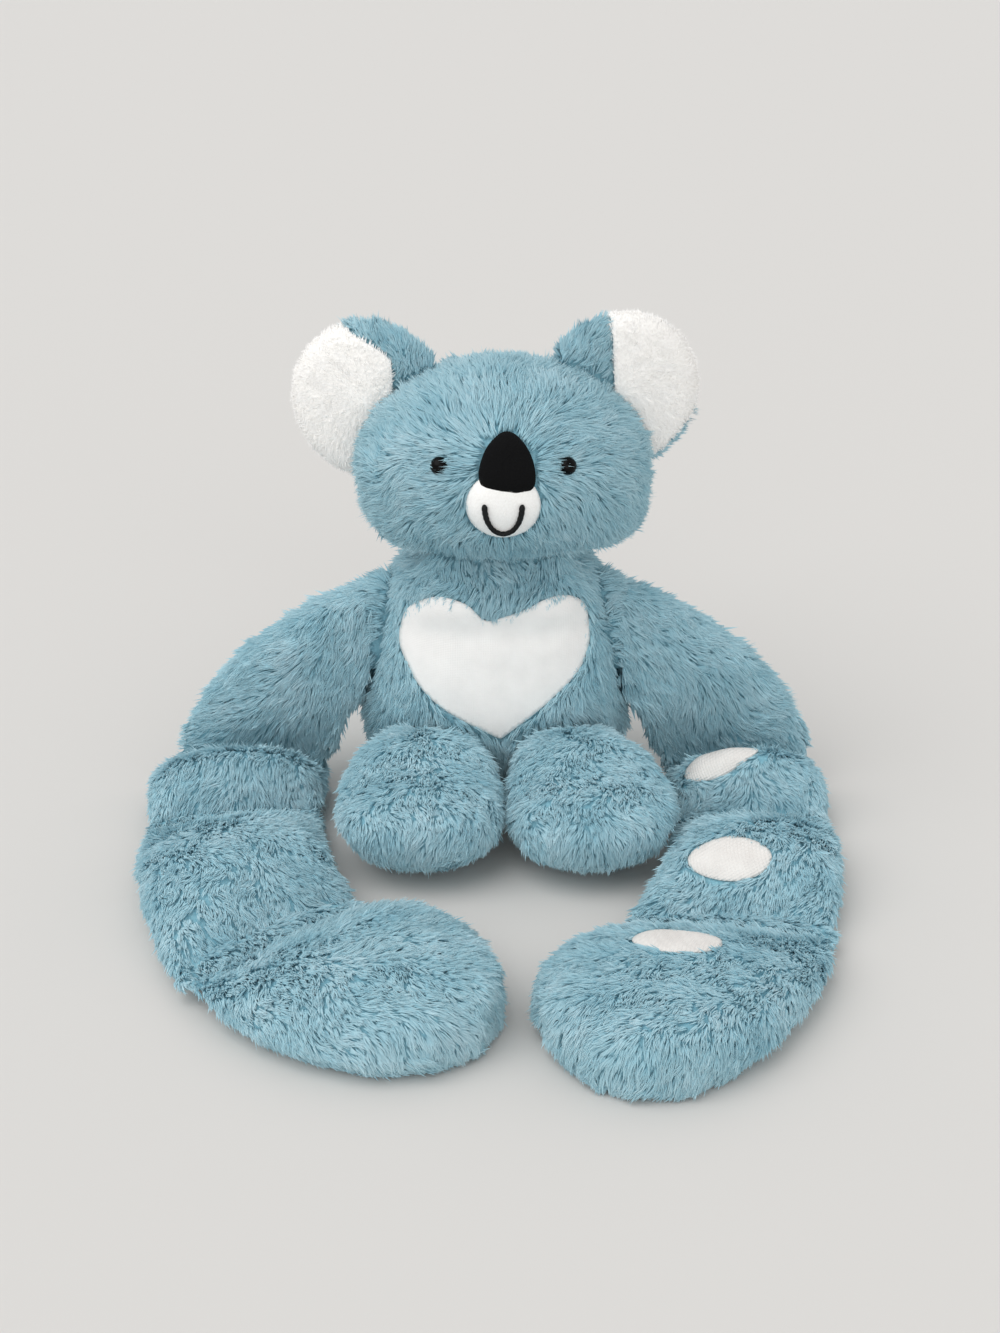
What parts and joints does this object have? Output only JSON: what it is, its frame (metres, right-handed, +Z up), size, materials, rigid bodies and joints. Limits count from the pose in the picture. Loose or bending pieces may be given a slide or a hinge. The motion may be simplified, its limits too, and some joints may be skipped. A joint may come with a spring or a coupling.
{
  "type": "plush koala",
  "caption": "Seated plush koala with a heart patch on its chest, round white-fronted ears and very long quilted, bead-filled arms that lie round its feet and fold at their seams.",
  "frame": {"origin": "middle of the seat, on the surface that the toy sits on", "axes": "+Z up; the face and the chest look along -Y; +X is the toy's own left side"},
  "size_m": [0.439, 0.4469, 0.3155],
  "materials": {
    "fur": "long soft pile",
    "stuffing": "fluffy polyester fibre",
    "beads": "woven bag of small beads",
    "white_plush": "short white plush",
    "cotton": "woven cotton",
    "felt": "black felt",
    "thread": "embroidery thread",
    "eye": "glossy",
    "washer": "moulded"
  },
  "bodies": {
    "torso": {"torso_skin": "fur", "torso_fill": "stuffing", "heart_patch": "cotton"},
    "head": {"head_skin": "fur", "head_fill": "stuffing", "nose_patch": "felt", "muzzle_patch": "white_plush", "smile_stitch": "thread", "right_eye": "eye", "right_eye_washer": "washer", "left_eye": "eye", "left_eye_washer": "washer"},
    "right_ear": {"right_ear_back": "fur", "right_ear_panel": "white_plush"},
    "right_leg": {"right_leg_skin": "fur", "right_leg_fill": "stuffing"},
    "right_shoulder": {"right_shoulder_skin": "fur", "right_shoulder_beads": "beads"},
    "right_upper": {"right_upper_skin": "fur", "right_upper_beads": "beads"},
    "right_lower": {"right_lower_skin": "fur", "right_lower_beads": "beads"},
    "right_paw": {"right_paw_skin": "fur", "right_paw_beads": "beads"},
    "left_ear": {"left_ear_back": "fur", "left_ear_panel": "white_plush"},
    "left_leg": {"left_leg_skin": "fur", "left_leg_fill": "stuffing"},
    "left_shoulder": {"left_shoulder_skin": "fur", "left_shoulder_beads": "beads"},
    "left_upper": {"left_upper_skin": "fur", "left_upper_beads": "beads", "left_upper_pad": "cotton"},
    "left_lower": {"left_lower_skin": "fur", "left_lower_beads": "beads", "left_lower_pad": "cotton"},
    "left_paw": {"left_paw_skin": "fur", "left_paw_beads": "beads", "left_paw_pad": "cotton"}
  },
  "joints": [
    {"name": "neck_nod", "type": "hinge", "parent": "torso", "child": "head", "pos_m": [0.0025, -0.006, 0.167], "axis": [1, 0, 0], "range_deg": [-12, 12], "stiffness_Nm_per_rad": 2},
    {"name": "right_ear_fold", "type": "hinge", "parent": "head", "child": "right_ear", "pos_m": [-0.07801, 0.008, 0.25178], "axis": [0.5138, -0.1281, 0.8483], "range_deg": [-12, 24], "stiffness_Nm_per_rad": 0.05},
    {"name": "right_hip_lift", "type": "hinge", "parent": "torso", "child": "right_leg", "pos_m": [-0.04, -0.05966, 0.058], "axis": [-1, 0, 0], "range_deg": [0, 45]},
    {"name": "right_shoulder_swing", "type": "hinge", "parent": "torso", "child": "right_shoulder", "pos_m": [-0.08118, -0.008, 0.112], "axis": [0, 0, -1], "range_deg": [0, 45]},
    {"name": "right_upper_fold", "type": "hinge", "parent": "right_shoulder", "child": "right_upper", "pos_m": [-0.16453, -0.0234, 0.014], "axis": [-1, 0, 0], "range_deg": [-45, 12]},
    {"name": "right_lower_fold", "type": "hinge", "parent": "right_upper", "child": "right_lower", "pos_m": [-0.16555, -0.0975, 0.014], "axis": [-0.9874, -0.1585, 0], "range_deg": [-30, 35]},
    {"name": "right_paw_fold", "type": "hinge", "parent": "right_lower", "child": "right_paw", "pos_m": [-0.12814, -0.24141, 0.014], "axis": [-0.7436, -0.6687, 0], "range_deg": [-30, 45]},
    {"name": "left_ear_fold", "type": "hinge", "parent": "head", "child": "left_ear", "pos_m": [0.0833, 0.008, 0.25795], "axis": [0.6248, 0.1558, -0.7651], "range_deg": [-12, 24], "stiffness_Nm_per_rad": 0.05},
    {"name": "left_hip_lift", "type": "hinge", "parent": "torso", "child": "left_leg", "pos_m": [0.04, -0.05966, 0.058], "axis": [-1, 0, 0], "range_deg": [0, 45]},
    {"name": "left_shoulder_swing", "type": "hinge", "parent": "torso", "child": "left_shoulder", "pos_m": [0.08118, -0.008, 0.112], "axis": [0, 0, 1], "range_deg": [0, 45]},
    {"name": "left_upper_fold", "type": "hinge", "parent": "left_shoulder", "child": "left_upper", "pos_m": [0.16204, -0.0234, 0.014], "axis": [-1, 0, 0], "range_deg": [-45, 12]},
    {"name": "left_lower_fold", "type": "hinge", "parent": "left_upper", "child": "left_lower", "pos_m": [0.16306, -0.09984, 0.014], "axis": [-0.9989, 0.0478, 0], "range_deg": [-30, 35]},
    {"name": "left_paw_fold", "type": "hinge", "parent": "left_lower", "child": "left_paw", "pos_m": [0.13639, -0.22756, 0.014], "axis": [-0.9963, 0.0864, 0], "range_deg": [-30, 45]}
  ]
}
